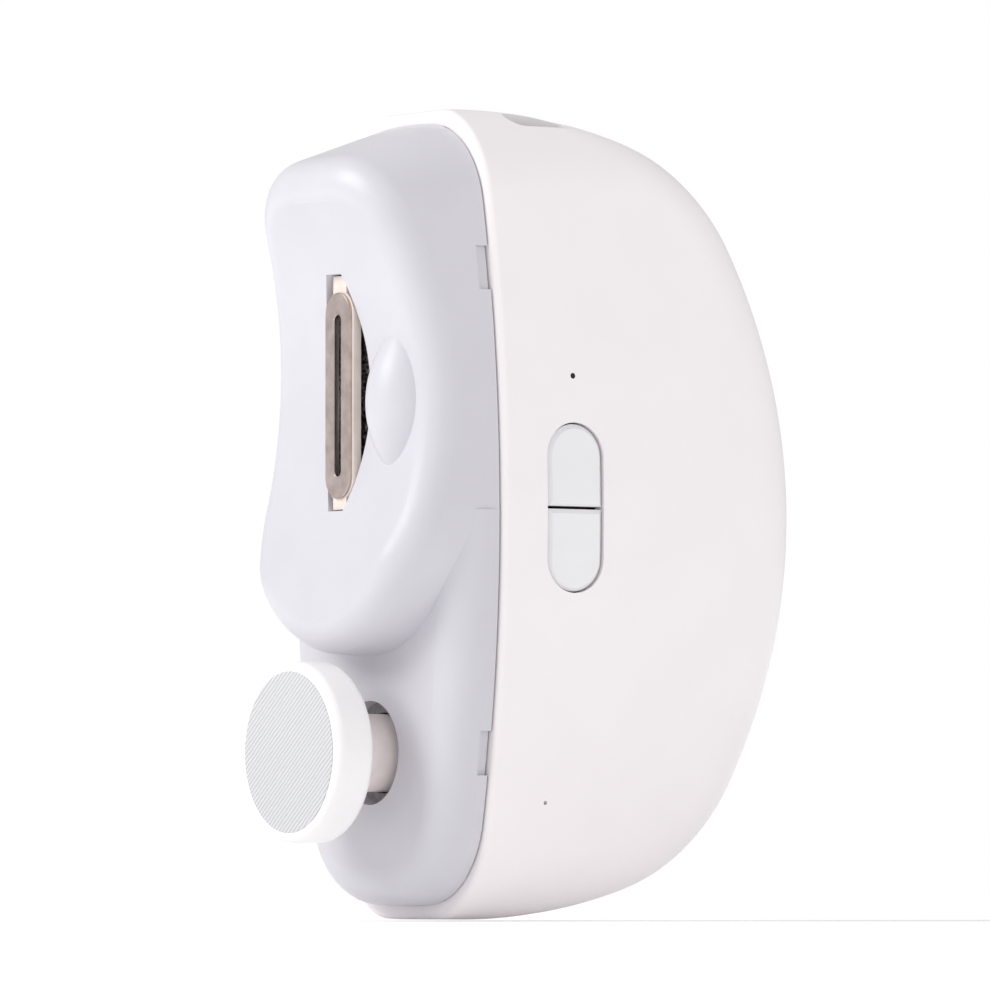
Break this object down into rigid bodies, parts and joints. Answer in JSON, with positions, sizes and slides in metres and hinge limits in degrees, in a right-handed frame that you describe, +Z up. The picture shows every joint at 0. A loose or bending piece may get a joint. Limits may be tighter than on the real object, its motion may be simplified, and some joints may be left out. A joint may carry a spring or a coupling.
{
  "type": "electric nail grinder",
  "caption": "Hand-held pet nail tool: D-shaped white housing, saddle-shaped grey cover over a guarded rotary cutter, and a round grinding disc on a powered spindle below it.",
  "frame": {"origin": "middle of the whole object's bounding box, grinding disc included", "axes": "+Z up along the long housing, -Y out of the cover and the grinding disc's face, +X towards the side with the buttons"},
  "size_m": [0.0407, 0.0624, 0.098],
  "materials": {
    "shell_white": "satin-gloss white ABS",
    "cover_grey": "satin pale lavender-grey ABS",
    "button_white": "satin-gloss white ABS",
    "holder_cream": "matte cream POM",
    "disc_white": "satin white ABS",
    "abrasive_mesh": "fine woven abrasive, matt",
    "hub_grey": "satin grey POM",
    "guard_steel": "etched stainless sheet, brushed",
    "cutter_steel": "blackened tool steel",
    "plain_steel": "turned steel",
    "brass": "turned brass",
    "frame_plastic": "dark grey glass-filled nylon",
    "gear_plastic": "natural POM",
    "motor_can_steel": "zinc-plated steel",
    "magnet": "ferrite, modelled as a matte dark solid",
    "armature": "laminated core with enamelled copper",
    "board_green": "solder-masked glass epoxy",
    "switch_black": "black moulded switch",
    "clear_guide": "smoked acrylic light guide",
    "led_white": "moulded lamp",
    "cell_wrap": "heat-shrink sleeve",
    "nickel": "nickel strip",
    "felt": "pressed felt"
  },
  "bodies": {
    "housing": {"left_shell": "shell_white", "right_shell": "shell_white", "cutter_frame": "holder_cream", "blade_guard": "guard_steel", "cutter_bearings": "brass", "idler_pin": "plain_steel", "chassis": "frame_plastic", "gear_cover": "frame_plastic", "circuit_board": "board_green", "upper_switch": "switch_black", "lower_switch": "switch_black", "status_led": "led_white", "light_guide": "clear_guide", "charging_socket": "plain_steel", "socket_tongue": "switch_black", "battery_cell": "cell_wrap", "battery_tabs": "nickel", "case_screws": "plain_steel", "frame_screws": "plain_steel", "motor_screws": "plain_steel", "gear_cover_screws": "plain_steel", "board_screws": "plain_steel", "cutter_motor_can": "motor_can_steel", "cutter_motor_end_cap": "frame_plastic", "cutter_motor_terminals": "brass", "cutter_motor_magnets": "magnet", "grinder_motor_can": "motor_can_steel", "grinder_motor_end_cap": "frame_plastic", "grinder_motor_terminals": "brass", "grinder_motor_magnets": "magnet"},
    "cover": {"front_cover": "cover_grey", "spindle_seal": "felt"},
    "upper_key": {"upper_button": "button_white", "upper_plunger": "switch_black"},
    "lower_key": {"lower_button": "button_white", "lower_plunger": "switch_black"},
    "cutter_rotor": {"cutter_motor_armature": "armature", "cutter_motor_shaft": "plain_steel", "drive_pinion": "brass"},
    "idler": {"idler_gear": "gear_plastic"},
    "cutter": {"cutter_drum": "cutter_steel", "cutter_shaft": "plain_steel", "cutter_gear": "gear_plastic"},
    "spindle": {"grinder_motor_armature": "armature", "grinder_motor_shaft": "plain_steel", "spindle_hub": "hub_grey"},
    "head": {"grinding_disc": "disc_white", "abrasive_pad": "abrasive_mesh"}
  },
  "joints": [
    {"name": "cover_slide", "type": "slide", "parent": "housing", "child": "cover", "axis": [0, -1, 0], "range_m": [0, 0.0055]},
    {"name": "upper_key_press", "type": "slide", "parent": "housing", "child": "upper_key", "axis": [-1, 0, 0], "range_m": [0, 0.0005], "stiffness_N_per_m": 400},
    {"name": "lower_key_press", "type": "slide", "parent": "housing", "child": "lower_key", "axis": [-1, 0, 0], "range_m": [0, 0.0005], "stiffness_N_per_m": 400},
    {"name": "cutter_motor_spin", "type": "hinge", "parent": "housing", "child": "cutter_rotor", "pos_m": [0, -0.00135, 0], "axis": [0, 0, 1], "continuous": true},
    {"name": "idler_spin", "type": "hinge", "parent": "housing", "child": "idler", "pos_m": [0, -0.01135, -0.0085], "axis": [0, 0, 1], "continuous": true},
    {"name": "cutter_spin", "type": "hinge", "parent": "housing", "child": "cutter", "pos_m": [0, -0.02135, 0.014], "axis": [0, 0, 1], "continuous": true},
    {"name": "spindle_spin", "type": "hinge", "parent": "housing", "child": "spindle", "pos_m": [0, -0.02355, -0.0289], "axis": [0, -1, 0], "continuous": true},
    {"name": "head_pull", "type": "slide", "parent": "spindle", "child": "head", "axis": [0, -1, 0], "range_m": [0, 0.012]}
  ],
  "couplings": [
    {"joint": "idler_spin", "follows": "cutter_motor_spin", "ratio": -0.38889},
    {"joint": "cutter_spin", "follows": "cutter_motor_spin", "ratio": 1}
  ]
}
